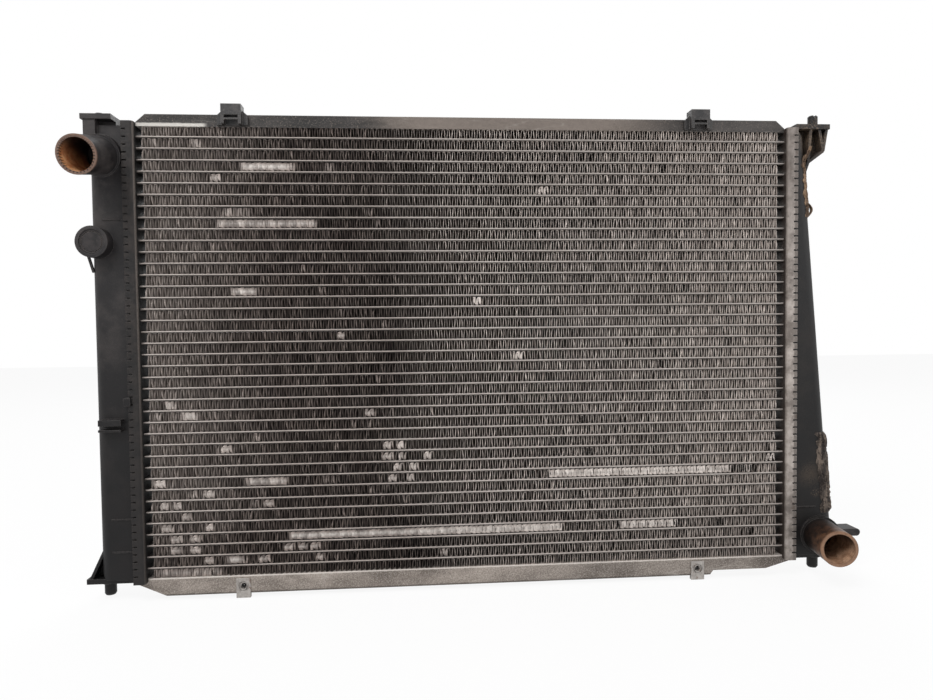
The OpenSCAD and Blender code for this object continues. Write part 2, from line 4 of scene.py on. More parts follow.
import bpy
import numpy as np
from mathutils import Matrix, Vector


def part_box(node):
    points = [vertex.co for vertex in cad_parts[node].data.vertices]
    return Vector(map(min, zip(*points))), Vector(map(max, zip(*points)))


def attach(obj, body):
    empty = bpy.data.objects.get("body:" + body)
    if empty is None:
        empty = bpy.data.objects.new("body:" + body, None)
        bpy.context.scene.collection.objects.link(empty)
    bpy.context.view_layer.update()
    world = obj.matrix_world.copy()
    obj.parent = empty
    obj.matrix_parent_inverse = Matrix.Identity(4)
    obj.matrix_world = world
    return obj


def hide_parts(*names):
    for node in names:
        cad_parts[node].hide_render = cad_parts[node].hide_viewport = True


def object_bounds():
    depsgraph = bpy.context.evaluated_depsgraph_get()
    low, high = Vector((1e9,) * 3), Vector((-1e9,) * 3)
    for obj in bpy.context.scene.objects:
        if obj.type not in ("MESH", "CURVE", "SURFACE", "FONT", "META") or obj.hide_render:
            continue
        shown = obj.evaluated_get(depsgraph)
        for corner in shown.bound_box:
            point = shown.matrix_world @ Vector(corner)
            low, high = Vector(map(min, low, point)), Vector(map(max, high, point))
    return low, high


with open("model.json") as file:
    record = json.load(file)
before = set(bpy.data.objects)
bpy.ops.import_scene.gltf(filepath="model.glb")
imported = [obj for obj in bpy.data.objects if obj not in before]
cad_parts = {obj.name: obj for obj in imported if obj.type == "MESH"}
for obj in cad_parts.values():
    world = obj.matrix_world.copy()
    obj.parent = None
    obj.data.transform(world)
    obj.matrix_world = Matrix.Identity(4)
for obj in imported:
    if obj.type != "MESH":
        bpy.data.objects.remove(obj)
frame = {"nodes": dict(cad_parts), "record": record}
cad_box = [list(map(float, corner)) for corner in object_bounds()]
scene = bpy.context.scene
scene.view_settings.view_transform = "Standard"


# ---- the camera ----
# It stands a little left of the core's middle and nearly level with it, close enough
# that the left end of the radiator looks larger than the right.

camera = bpy.data.objects.new("camera", bpy.data.cameras.new("camera"))
scene.collection.objects.link(camera)
scene.camera = camera
camera.data.lens, camera.data.sensor_width = 27.01, 36
camera.location = -0.05481, -0.64711, 0.22893
camera.rotation_euler = [math.radians(turn) for turn in (87.914, 0.651, -4.382)]


# ---- the studio ----
# A pale floor just under the lowest fixing, a white surround, one broad lamp
# above and to the left, and two weak ones for the right side and the back.


class Wire:
    """The output of a node, ready for sums."""

    def __init__(self, recipe, socket):
        self.recipe, self.socket = recipe, socket

    def math(self, how, *others, clamp=False):
        return self.recipe.node(
            "ShaderNodeMath",
            {"operation": how, "use_clamp": clamp},
            dict(enumerate((self, *others))),
        )

    def __add__(self, other):
        return self.math("ADD", other)

    def __sub__(self, other):
        return self.math("SUBTRACT", other)

    def __rsub__(self, other):
        return self.math("MULTIPLY", -1).math("ADD", other)

    def __mul__(self, other):
        return self.math("MULTIPLY", other)

    def __truediv__(self, other):
        return self.math("DIVIDE", other)

    __radd__, __rmul__ = __add__, __mul__

    def most(self, other):
        return self.math("MAXIMUM", other)

    def held(self):
        """The same, but never under 0 or over 1."""
        return self.math("ADD", 0, clamp=True)


class Recipe:
    """The node tree of one finish."""

    def __init__(self, owner):
        owner.use_nodes = True
        self.owner, self.tree = owner, owner.node_tree
        self.shader = self.tree.nodes.get("Principled BSDF")

    def node(self, kind, settings=None, values=None, out=0):
        made = self.tree.nodes.new(kind)
        for name, value in (settings or {}).items():
            if name == "stops":
                ramp = made.color_ramp.elements
                ramp.remove(ramp[1])
                ramp[0].position, ramp[0].color = value[0]
                for at, colour in value[1:]:
                    ramp.new(at).color = colour
            else:
                setattr(made, name, value)
        for name, value in (values or {}).items():
            self.feed(made.inputs[name], value)
        return Wire(self, made.outputs[out])

    def feed(self, socket, value):
        if isinstance(value, Wire):
            self.tree.links.new(value.socket, socket)
        else:
            socket.default_value = value

    def coat(self, **values):
        """Feeds the shader's sockets by name, with _ for each space."""
        for name, value in values.items():
            self.feed(self.shader.inputs[name.replace("_", " ")], value)


def finish(name):
    return Recipe(bpy.data.materials.new(name))


def rgb(red, green, blue):
    """A colour given as on a paint card, 0 to 255."""
    parts = [c / 255 for c in (red, green, blue)]
    return (*[c / 12.92 if c < 0.04 else ((c + 0.055) / 1.055) ** 2.4 for c in parts], 1)


def seen(recipe):
    """1 on rays that show the surround itself: straight, mirrored or through glass."""
    rays = [recipe.node("ShaderNodeLightPath", out=out) for out in
            ("Is Camera Ray", "Is Glossy Ray", "Is Transmission Ray")]
    return rays[0].most(rays[1]).most(rays[2])


surround = bpy.data.worlds.new("surround")
scene.world = surround
sky = Recipe(surround)
fill = sky.tree.nodes["Background"]
fill.inputs["Color"].default_value = rgb(250, 250, 252)
fill.inputs["Strength"].default_value = 0.5
white = sky.node("ShaderNodeBackground", None, {"Color": (1, 1, 1, 1), "Strength": 1})
both = sky.node("ShaderNodeMixShader", None,
                {0: seen(sky), 1: Wire(sky, fill.outputs[0]), 2: white})
sky.feed(sky.tree.nodes["World Output"].inputs["Surface"], both)


def lamp(name, place, aim, size, watts):
    light = bpy.data.lights.new(name, "AREA")
    light.shape, light.size, light.energy = "DISK", size, watts
    holder = bpy.data.objects.new(name, light)
    scene.collection.objects.link(holder)
    holder.location = place
    holder.rotation_euler = (Vector(aim) - Vector(place)).to_track_quat("-Z", "Y").to_euler()


lamp("lamp_above_left", (-0.9, -1.3, 1.9), (0, 0, 0.2), 1.2, 34)
lamp("lamp_right", (1.6, -1.2, 0.9), (0, 0, 0.2), 1.2, 9)
lamp("lamp_back", (0.3, 1.9, 1.3), (0, 0, 0.2), 1.4, 14)

floor_reach = 4
floor_z = cad_box[0][2] - 0.0005
corners = [(-1, -1), (1, -1), (1, 1), (-1, 1)]
floor_mesh = bpy.data.meshes.new("floor")
floor_mesh.from_pydata([(x * floor_reach, y * floor_reach, floor_z) for x, y in corners],
                       [], [(0, 1, 2, 3)])
floor = bpy.data.objects.new("floor", floor_mesh)
scene.collection.objects.link(floor)
pale = finish("pale_floor")
pale.coat(Base_Color=rgb(248, 248, 248), Roughness=0.9)
glow = pale.node("ShaderNodeEmission", None, {"Color": (1, 1, 1, 1), "Strength": 1})
lit_floor = pale.node("ShaderNodeMixShader", None,
                      {0: seen(pale) * 0.9, 1: Wire(pale, pale.shader.outputs[0]), 2: glow})
pale.feed(pale.tree.nodes["Material Output"].inputs["Surface"], lit_floor)
floor_mesh.materials.append(pale.owner)


# ---- flat tubes ----
# Thirty-nine flat aluminium tubes, rolled and welded, run from header to header
# and carry the coolant. Their rounded noses are bare, painted bright above as a
# highlight and dark below as shade. The left half of the core is darker, with
# road soot and painted shade.

tube_low, tube_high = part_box("core_tubes")
tube_count, tube_thick = 39, 0.002


def place(recipe):
    """Where a point lies, in metres, in the radiator's own frame."""
    return recipe.node("ShaderNodeTexCoord", out="Object")


def axis(recipe, letter):
    return recipe.node("ShaderNodeSeparateXYZ", None, {0: place(recipe)}, out=letter)


def mottle(recipe, size, detail=4, rough=0.55, stretch=(1, 1, 1)):
    """Cloudy noise from 0 to 1, its largest patches about size metres across."""
    spread = recipe.node("ShaderNodeVectorMath", {"operation": "MULTIPLY"},
                         {0: place(recipe), 1: stretch})
    return recipe.node("ShaderNodeTexNoise", None, {
        "Vector": spread, "Scale": 1 / size, "Detail": detail, "Roughness": rough})


def ease(recipe, value, start, end, low=0.0, high=1.0):
    """A smooth step from low to high as value goes from start to end."""
    return recipe.node("ShaderNodeMapRange", {"interpolation_type": "SMOOTHSTEP"}, {
        "Value": value, "From Min": start, "From Max": end, "To Min": low, "To Max": high})


def tint(recipe, amount, first, second):
    """The first colour turning to the second as amount goes from 0 to 1."""
    return recipe.node("ShaderNodeMix", {"data_type": "RGBA"},
                       {0: amount, 6: first, 7: second}, out=2)


def relief(recipe, height, depth, under=None):
    """A fine bumpiness, depth metres high, over the normal given as under."""
    values = {"Height": height, "Distance": depth, "Strength": 1.0}
    if under:
        values["Normal"] = under
    return recipe.node("ShaderNodeBump", None, values)


# across the core, from 0 at the inlet to 1 at the outlet: how dark each place is, with soot and
# painted shade
soot_and_shade_across = [(0.02, 0.50), (0.12, 0.75), (0.22, 1.0), (0.36, 0.95),
               (0.44, 0.30), (0.52, 0.08), (0.75, 0.10), (0.98, 0.18)]


def soot_and_shade(recipe):
    """How dark the core is, 0 to 1, with soot and painted shade: worst left of the middle, light
    on the right.
    """
    drift = mottle(recipe, 0.06, 3, 0.5, (1, 1, 0.6)) * 0.09 - 0.045
    across = (axis(recipe, "X") + drift) / 0.6 + 0.5
    stops = [(at, (tone, tone, tone, 1)) for at, tone in soot_and_shade_across]
    band = recipe.node("ShaderNodeValToRGB", {"stops": stops}, {0: across})
    low_down = ease(recipe, axis(recipe, "Z") + drift, 0.085, 0.02, 0, 0.3)
    clouds = mottle(recipe, 0.03, 4) * 0.3 - 0.15
    return (band + low_down + clouds).held()


def dress(node, material):
    """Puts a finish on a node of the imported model."""
    mesh = frame["nodes"][node].data
    mesh.materials.clear()
    mesh.materials.append(material.owner)


tube_metal = finish("tube_aluminium")
nose = ease(tube_metal, axis(tube_metal, "Y").math("ABSOLUTE"),
            tube_high.y - 0.0009, tube_high.y - 0.0001)
# painted light on the tube noses: their upper half is painted bright as a highlight, their lower
# half takes the dark side colour as painted shade
facing = tube_metal.node("ShaderNodeNewGeometry", out="Normal")
upward = tube_metal.node("ShaderNodeSeparateXYZ", None, {0: facing}, out="Z")
painted_top_light = ease(tube_metal, upward, -0.35, 0.55)
streaks = mottle(tube_metal, 0.004, 4, 0.7, (0.25, 1, 1))
clean_tube = tint(tube_metal, streaks, rgb(146, 138, 132), rgb(210, 203, 197))
sooty_shaded_tube = tint(tube_metal, streaks, rgb(110, 100, 94), rgb(192, 182, 175))
front_tube = tint(tube_metal, soot_and_shade(tube_metal), clean_tube, sooty_shaded_tube)
side_tube = tint(tube_metal, soot_and_shade(tube_metal), rgb(70, 64, 60), rgb(26, 21, 19))
tube_metal.coat(
    Base_Color=tint(tube_metal, nose * (painted_top_light * 0.8 + 0.2), side_tube, front_tube),
    Roughness=streaks * 0.25 + 0.42,
    Metallic=0.35,
    Normal=relief(tube_metal, mottle(tube_metal, 0.0015, 3), 0.0001))
dress("core_tubes", tube_metal)


# ---- fin strips ----
# Forty strips of aluminium foil, folded into waves and brazed between the tubes.
# Each leg is bent part way in, as its louvres turn the air. The soft front edges
# are rolled over here and there, and stones and tools have pressed patches bright,
# with a painted highlight along the middle of each strip. The foil is darker
# deeper in, with grime and painted shade.

fin_low, fin_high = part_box("fin_strips")
fin_pitch = (tube_high.z - tube_low.z - tube_thick) / (tube_count - 1)
fin_strips, fin_waves, fin_groups = tube_count + 1, 128, 5
foil, fin_clear = 0.00012, 0.0001
fin_deep = fin_high.y - fin_low.y
fin_tall = fin_high.z - fin_low.z - fin_pitch * (fin_strips - 1)
# the strips' inlet ends run a little further than their stated box, toward the header
fin_left = fin_low.x - 0.0025
wave = (fin_high.x - fin_left - 0.0005) / fin_waves
# places along one wave, how far up the strip each is, and how free it is to bend
wave_x = np.array([0.00, 0.38, 0.44, 0.50, 0.88, 0.94])
wave_z = np.array([0.0, 0.0, 0.5, 1.0, 1.0, 0.5])
wave_free = np.array([0.45, 0.45, 1.0, 0.45, 0.45, 1.0])
# rows from front to back: depth, how far the louvres have carried the foil, and
# how much of a press's polish and painted highlight each row takes
row_y = np.array([0, 0.0014, 0.5 * fin_deep, fin_deep - 0.0014, fin_deep])
row_turn = np.array([0, 0, 0.0034, 0, 0])
row_polish_and_sheen = (1, 0.8, 0, 0, 0)
rows = len(row_y)
# how far edges wander by themselves, and how far a press pushes them across and in
ripple, pushed, sunk = 0.00022, 0.0032, 0.0006
# each strip's folds also drift along it, over spans of about ten waves
drift_span, drift_size = 61, 0.0022
# a rub fades in and out over this length
rub_end = 0.008
# long rubs: from x, to x, strip counted from the bottom, how hard
rubs = [(-0.206, -0.154, 36, 1.0), (-0.133, -0.120, 36, 0.7), (-0.228, -0.134, 31, 0.75),
        (-0.225, -0.190, 32, 0.35), (-0.217, -0.188, 25, 0.9), (-0.276, -0.262, 15, 0.8),
        (-0.262, -0.242, 14, 0.8), (-0.207, -0.165, 8, 0.8), (-0.170, 0.087, 3, 1.0),
        (0.132, 0.195, 3, 0.9), (0.066, 0.248, 8, 0.95), (0.248, 0.270, 8, 0.5),
        (-0.226, -0.204, 1, 1.0), (-0.289, -0.222, 0, 0.5), (-0.250, -0.232, 38, 0.5),
        (-0.282, -0.270, 38, 0.4)]
# small dents: x, strip, half length in millimetres; seventy faint ones follow by chance
dents = [(-0.221, 11, 6), (-0.279, 8, 5), (-0.237, 7, 6), (-0.264, 6, 4), (-0.185, 6, 6),
         (-0.276, 6, 4), (-0.257, 5, 5), (-0.274, 4, 6), (-0.237, 4, 4), (-0.266, 3, 6),
         (-0.250, 3, 5), (-0.267, 2, 6), (-0.250, 2, 6), (-0.238, 1, 5), (-0.190, 1, 6),
         (-0.168, 2, 6), (-0.155, 2, 5), (-0.145, 2, 5), (-0.140, 1, 4), (-0.028, 1, 4),
         (-0.078, 11, 5), (-0.066, 11, 4), (-0.078, 10, 6), (-0.065, 10, 4), (-0.042, 10, 5),
         (-0.069, 9, 5), (-0.055, 9, 5), (-0.074, 8, 5), (-0.058, 8, 4), (-0.225, 35, 5),
         (-0.118, 21, 4), (-0.094, 14, 5), (0.005, 24, 5), (0.066, 34, 6), (0.043, 19, 6),
         (0.284, 9, 9), (0.288, 11, 5)]
clear_dents = len(dents)
picks = np.random.default_rng(35)
for _ in range(70):
    dents.append((picks.uniform(-0.28, 0.28), int(picks.integers(1, fin_strips - 1)),
                  picks.uniform(1.5, 4)))


def press_at(x, strip):
    """How far rubs and dents press the front edges over at each x, 0 to 1."""
    rub, dent = np.zeros_like(x), np.zeros_like(x)
    for start, end, where, hard in rubs:
        if where == strip:
            inside = np.clip(np.minimum(x - start, end - x) / rub_end, 0, 1)
            rub += hard * inside * (0.85 + 0.15 * np.sin(x * 700 + strip))
    for number, (middle, where, half) in enumerate(dents):
        if where == strip:
            hump = np.clip(1.2 - 1.2 * ((x - middle) / (half / 1000)) ** 2, 0, 1)
            dent += hump * (0.8 if number < clear_dents else 0.3)
    return rub.clip(0, 1), dent.clip(0, 1)


def fin_group(first, last):
    """The foil of strips first to last as one open sheet each, with its wear."""
    points, quads, pressed, tone = [], [], [], []
    for strip in range(first, last):
        along = (np.arange(fin_waves)[:, None] * wave + wave_x * wave).ravel()
        along = np.append(along, fin_waves * wave) + fin_left
        up = np.append(np.tile(wave_z, fin_waves), 0)
        free = np.append(np.tile(wave_free, fin_waves), 0.25)
        count = len(along)
        leg = np.arange(count) // 3
        swing = picks.normal(0, 1, leg[-1] + 1)
        roll = picks.normal(0, 1, leg[-1] + 1)
        grey = picks.uniform(0, 1, leg[-1] + 1)
        drift = np.convolve(picks.normal(0, 1, count + drift_span - 1),
                            np.ones(drift_span) / drift_span, "valid") * drift_size
        rub, dent = press_at(along, strip)
        base = len(points) * rows
        for column in range(count):
            soft = free[column]
            # a press leans the edge over, rubs it bright and flattens the fold; the brightness
            # peaks at mid height of the strip as a painted highlight
            lean = rub[column] * (1.35 - 0.35 * soft) + dent[column] * (0.5 + 0.5 * soft)
            polish_and_sheen = min(1, rub[column] + dent[column] * 0.7) * (0.12 + 0.88 * soft * soft)
            inset = min(0.55, rub[column] * 0.4 + dent[column] * 0.55)
            # washing has rolled the edges a little, to the left on the inlet side, where the core
            # is darkest
            washed = 0.0003 - 0.0007 * min(1, max(0, (-0.02 - along[column]) / 0.07))
            cells = []
            for row, (deep, turn) in enumerate(zip(row_y, row_turn)):
                x = along[column] + turn + drift[column] * 0.6
                y = fin_low.y + deep
                if row < 2:
                    x += swing[leg[column]] * ripple * soft
                if row == 0:
                    x += soft * (roll[leg[column]] * ripple + washed) - lean * pushed
                    y += lean * sunk
                if row == rows - 1:
                    x += roll[leg[column]] * 0.0002 * soft
                share = up[column] + (0.5 - up[column]) * inset * (row == 0)
                z = (fin_low.z + fin_clear + strip * fin_pitch
                     + share * (fin_tall - 2 * fin_clear))
                cells.append((min(max(x, fin_left), fin_high.x - fin_clear), y, z))
                pressed.append(polish_and_sheen * row_polish_and_sheen[row])
                tone.append(grey[leg[column]])
            points.append(cells)
            if column:
                now = base + column * rows
                quads += [(now - rows + r, now + r, now + r + 1, now - rows + r + 1)
                          for r in range(rows - 1)]
    mesh = bpy.data.meshes.new("fins")
    mesh.from_pydata([p for cells in points for p in cells], [], quads)
    for name, values in (("pressed", pressed), ("leg_tone", tone)):
        mesh.attributes.new(name, "FLOAT", "POINT").data.foreach_set("value", values)
    piece = bpy.data.objects.new(f"fins_{first + 1}_to_{last}", mesh)
    scene.collection.objects.link(piece)
    thick = piece.modifiers.new("foil", "SOLIDIFY")
    thick.thickness, thick.offset = foil, 0
    return piece


fin_foil = finish("fin_foil")
# the foil is lighter at its front edges and darker deeper in: grime, and painted shade for the
# dark gaps between the legs
edge = ease(fin_foil, axis(fin_foil, "Y").math("ABSOLUTE"),
            fin_high.y - 0.0046, fin_high.y - 0.0008)
pressed = fin_foil.node("ShaderNodeAttribute", {"attribute_name": "pressed"}, out="Fac")
leg_tone = fin_foil.node("ShaderNodeAttribute", {"attribute_name": "leg_tone"}, out="Fac")
# soot and painted shade across the core
grime_and_shade = soot_and_shade(fin_foil)
speck = mottle(fin_foil, 0.003, 4, 0.7)
dusty = tint(fin_foil, leg_tone * 0.7 + speck * 0.4, rgb(168, 156, 148), rgb(238, 228, 220))
sooty_shaded = tint(fin_foil, leg_tone * 0.7 + speck * 0.4, rgb(50, 41, 38), rgb(164, 150, 142))
deep = tint(fin_foil, grime_and_shade, rgb(112, 100, 93), rgb(30, 23, 21))
edge_dust_and_deep_shade = tint(fin_foil, edge, deep, tint(fin_foil, grime_and_shade, dusty, sooty_shaded))
# rubbed patches: polished bright, with a painted highlight
polished_and_sheen = tint(fin_foil, leg_tone * 0.35 + speck * 0.7, rgb(92, 83, 77), rgb(246, 239, 232))
fin_foil.coat(
    Base_Color=tint(fin_foil, ease(fin_foil, pressed, 0.1, 1.0), edge_dust_and_deep_shade, polished_and_sheen),
    Roughness=speck * 0.2 + 0.45,
    Metallic=0.25,
    Normal=relief(fin_foil, mottle(fin_foil, 0.0009, 2, 0.5, (0.3, 1.6, 0.3)), 0.00012))
per_group = fin_strips // fin_groups
for group in range(fin_groups):
    fins = fin_group(group * per_group, (group + 1) * per_group)
    fins.data.materials.append(fin_foil.owner)
    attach(fins, "radiator")
    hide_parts("fin_strips")


# ---- side plates ----
# A folded aluminium channel closes the core above and below and holds the
# stack together while it is brazed. The upper one has gone dark with road
# dirt; the lower one is bare, scuffed and chalky.


def worn_edges(recipe, radius):
    """1 along sharp edges, 0 on flats, and the softened normal itself."""
    soft = recipe.node("ShaderNodeBevel", {"samples": 4}, {"Radius": radius})
    flat = recipe.node("ShaderNodeNewGeometry", out="Normal")
    close = recipe.node("ShaderNodeVectorMath", {"operation": "DOT_PRODUCT"},
                        {0: soft, 1: flat}, out="Value")
    return ease(recipe, 1 - close, 0.01, 0.16), soft


def scratches(recipe, size, stretch):
    """Thin light lines, by the narrow middle of a stretched noise."""
    field = mottle(recipe, size, 3, 0.6, stretch)
    return ease(recipe, (field - 0.5).math("ABSOLUTE"), 0.012, 0.0)


upper_plate = finish("upper_plate_dirty_aluminium")
plate_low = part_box("top_side_plate")[0]
rubbed, softened = worn_edges(upper_plate, 0.0006)
cloud = mottle(upper_plate, 0.025, 5, 0.65, (0.4, 1, 1))
fine = mottle(upper_plate, 0.002, 4, 0.7, (0.5, 1, 1))
dirt = tint(upper_plate, ease(upper_plate, cloud, 0.35, 0.68), rgb(30, 28, 27), rgb(70, 66, 64))
# the middle has been wiped, or hidden from the dirt by the shroud
wiped = ease(upper_plate, axis(upper_plate, "X") + cloud * 0.04, -0.09, -0.03)
wiped = wiped * ease(upper_plate, axis(upper_plate, "X") + cloud * 0.06, 0.23, 0.15)
wiped_metal = tint(upper_plate, cloud * 0.5 + fine * 0.5, rgb(66, 58, 52), rgb(150, 138, 129))
dirt = tint(upper_plate, wiped * 0.8, dirt, wiped_metal)
marks = scratches(upper_plate, 0.02, (0.12, 1, 1)) * ease(upper_plate, cloud, 0.4, 0.6)
# its lower edge is bent out and rubbed bright at the inlet end
bent = ease(upper_plate, axis(upper_plate, "Z") + mottle(upper_plate, 0.01) * 0.0016,
            plate_low.z + 0.0044, plate_low.z + 0.0030)
bent = bent * ease(upper_plate, axis(upper_plate, "X"), plate_low.x + 0.062, plate_low.x + 0.056)
grit = ease(upper_plate, mottle(upper_plate, 0.0012, 3, 0.75), 0.54, 0.66)
gritty = tint(upper_plate, grit * 0.6, dirt, rgb(118, 108, 100))
upper_plate.coat(
    Base_Color=tint(upper_plate, (marks * 0.12 + rubbed * 0.6 * fine + bent).held(),
                    gritty, rgb(186, 182, 176)),
    Roughness=cloud * 0.3 + 0.45,
    Metallic=0.3,
    Normal=relief(upper_plate, cloud * 3 + fine, 0.0003, softened))
dress("top_side_plate", upper_plate)

lower_plate = finish("lower_plate_chalky_aluminium")
rubbed, softened = worn_edges(lower_plate, 0.0006)
cloud = mottle(lower_plate, 0.03, 5, 0.6, (0.5, 1, 1))
fine = mottle(lower_plate, 0.0025, 5, 0.75, (0.5, 1, 1))
salt = mottle(lower_plate, 0.0011, 3, 0.75)
pits = ease(lower_plate, fine, 0.38, 0.3)
marks = scratches(lower_plate, 0.03, (0.1, 1, 1)) * ease(lower_plate, cloud, 0.45, 0.6)
# its bend has a painted highlight along the top, and painted shade along the bottom edge
plate_low, plate_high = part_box("bottom_side_plate")
height = axis(lower_plate, "Z") + fine * 0.0008
outlet_end = axis(lower_plate, "X") + cloud * 0.06
chalk_and_painted_light = tint(lower_plate, ease(lower_plate, cloud, 0.3, 0.7), rgb(100, 91, 84), rgb(158, 148, 139))
for amount, colour in (
        (ease(lower_plate, outlet_end, 0.02, 0.16, 0, 0.36), rgb(52, 47, 44)),
        (ease(lower_plate, salt, 0.5, 0.62) * 0.4, rgb(196, 188, 180)),
        (ease(lower_plate, salt, 0.45, 0.35) * 0.55, rgb(74, 65, 59)),
        # painted highlight along the top edge of the bend, then painted shade along the bottom
        # edge
        (ease(lower_plate, height, plate_high.z - 0.0012, plate_high.z) * 0.7, rgb(226, 218, 210)),
        (ease(lower_plate, height, plate_low.z + 0.0026, plate_low.z + 0.0008) * 0.75,
         rgb(40, 34, 30)),
        ((marks * 0.2 + rubbed * 0.6).held(), rgb(202, 197, 191)),
        (pits * 0.6, rgb(60, 50, 44))):
    chalk_and_painted_light = tint(lower_plate, amount, chalk_and_painted_light, colour)
lower_plate.coat(
    Base_Color=chalk_and_painted_light,
    Roughness=fine * 0.25 + 0.42,
    Metallic=0.35,
    Normal=relief(lower_plate, cloud * 3 + fine, 0.0003, softened))
dress("bottom_side_plate", lower_plate)


# ---- headers ----
# Two pressed aluminium trays take the tube ends, and their rims are crimped
# over the tank's foot in a row of small tabs. The inlet side is stained brown
# with old coolant and dirt; the outlet side is still bare metal.


def tray(recipe, node):
    """1 on the flat of a header between its tubes, a recess painted dark as shade."""
    low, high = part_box(node)
    core_side = min(abs(low.x), abs(high.x))
    along, deep = (axis(recipe, letter).math("ABSOLUTE") for letter in "XY")
    near = ease(recipe, along, core_side + 0.0022, core_side + 0.0004)
    return near * ease(recipe, deep, high.y - 0.0022, high.y - 0.0042)


stained = finish("inlet_header_stained")
rubbed, softened = worn_edges(stained, 0.0007)
cloud = mottle(stained, 0.012, 5, 0.65)
fine = mottle(stained, 0.0016, 4, 0.7)
core_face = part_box("inlet_header")[1].x
# the face toward the core is painted lighter, a painted highlight on the edge that faces the light
face = ease(stained, axis(stained, "X"), core_face - 0.0013, core_face - 0.0005)
# the stain is darkest low down
up_high = ease(stained, axis(stained, "Z"), 0.05, 0.3, 0.35, 1)
stain = tint(stained, ease(stained, cloud, 0.35, 0.68) * up_high, rgb(15, 12, 12), rgb(46, 40, 37))
grey = tint(stained, fine, rgb(66, 60, 56), rgb(140, 131, 124))
skin = tint(stained, face * 0.75 * up_high, stain, grey)
skin = tint(stained, (rubbed * fine * 0.8).held() * 0.5, skin, rgb(120, 110, 102))
stained.coat(
    # painted shade on the flat between the tubes
    Base_Color=tint(stained, tray(stained, "inlet_header"), skin, rgb(12, 9, 8)),
    Roughness=cloud * 0.25 + 0.45,
    Metallic=0.25,
    Normal=relief(stained, cloud * 2 + fine, 0.0003, softened))
dress("inlet_header", stained)

bare = finish("outlet_header_bare_aluminium")
rim_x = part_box("outlet_header")[1].x
rubbed, softened = worn_edges(bare, 0.0007)
cloud = mottle(bare, 0.014, 5, 0.65)
fine = mottle(bare, 0.0016, 4, 0.7)
skin = tint(bare, ease(bare, cloud, 0.3, 0.7), rgb(104, 96, 90), rgb(172, 163, 156))
# the crimped tabs are duller and painted darker, shade on the far side of the rounded rim; the
# upper end is duller too
tabs = ease(bare, axis(bare, "X") + fine * 0.0012, rim_x - 0.0030, rim_x - 0.0018)
skin = tint(bare, tabs, skin, tint(bare, fine, rgb(74, 67, 62), rgb(132, 124, 118)))
skin = tint(bare, ease(bare, axis(bare, "Z"), 0.22, 0.40, 0, 0.62), skin, rgb(90, 82, 77))
skin = tint(bare, rubbed * 0.35, skin, rgb(196, 190, 184))
stain = ease(bare, mottle(bare, 0.009, 4, 0.6), 0.6, 0.72)
skin = tint(bare, stain * 0.7, skin, rgb(70, 56, 46))
bare.coat(
    # painted shade on the flat between the tubes
    Base_Color=tint(bare, tray(bare, "outlet_header"), skin, rgb(56, 47, 42)),
    Roughness=fine * 0.25 + 0.36,
    Metallic=0.35,
    Normal=relief(bare, cloud * 2 + fine, 0.0003, softened))
dress("outlet_header", bare)


# ---- gaskets and rubber rings ----
# A rubber cord sits in each header under the tank's foot, and a ring seals the
# blanked port and the drain.

rubber = finish("gasket_rubber")
grain = mottle(rubber, 0.0012, 4, 0.6)
rubber.coat(Base_Color=tint(rubber, grain, rgb(20, 20, 20), rgb(46, 45, 44)),
            Roughness=grain * 0.2 + 0.6,
            Normal=relief(rubber, grain, 0.00008))
for node in ("inlet_gasket", "outlet_gasket", "port_seal", "drain_seal"):
    dress(node, rubber)


# ---- tanks ----
# Glass-filled nylon tanks, moulded with their hose necks, feet and pins. They
# are near black, with a dull grey bloom of dust, lighter scuffs on corners and
# ribs, and brown dried coolant in and around the necks. They are painted lighter
# toward the top as a highlight, and each bore is painted dark in its upper half as shade.


def mount(name):
    """Where one of the radiator's mounts is, and the way it faces."""
    found = next(m for m in frame["record"]["mounts"] if m["name"] == name)
    return Vector(found["pos_m"]), Vector(found["axis"])


def from_axis(recipe, centre, way):
    """How far a point is along an axis, and how far out from it."""
    arm = recipe.node("ShaderNodeVectorMath", {"operation": "SUBTRACT"},
                      {0: place(recipe), 1: centre})
    along = recipe.node("ShaderNodeVectorMath", {"operation": "DOT_PRODUCT"},
                        {0: arm, 1: way}, out="Value")
    across = recipe.node("ShaderNodeVectorMath", {"operation": "CROSS_PRODUCT"},
                         {0: arm, 1: way})
    return along, recipe.node("ShaderNodeVectorMath", {"operation": "LENGTH"},
                              {0: across}, out="Value")


# radii of a hose neck: its bore, about the middle of its wall, and its outside
bore_r, wall_mid_r, neck_r = 0.0134, 0.0148, 0.0160


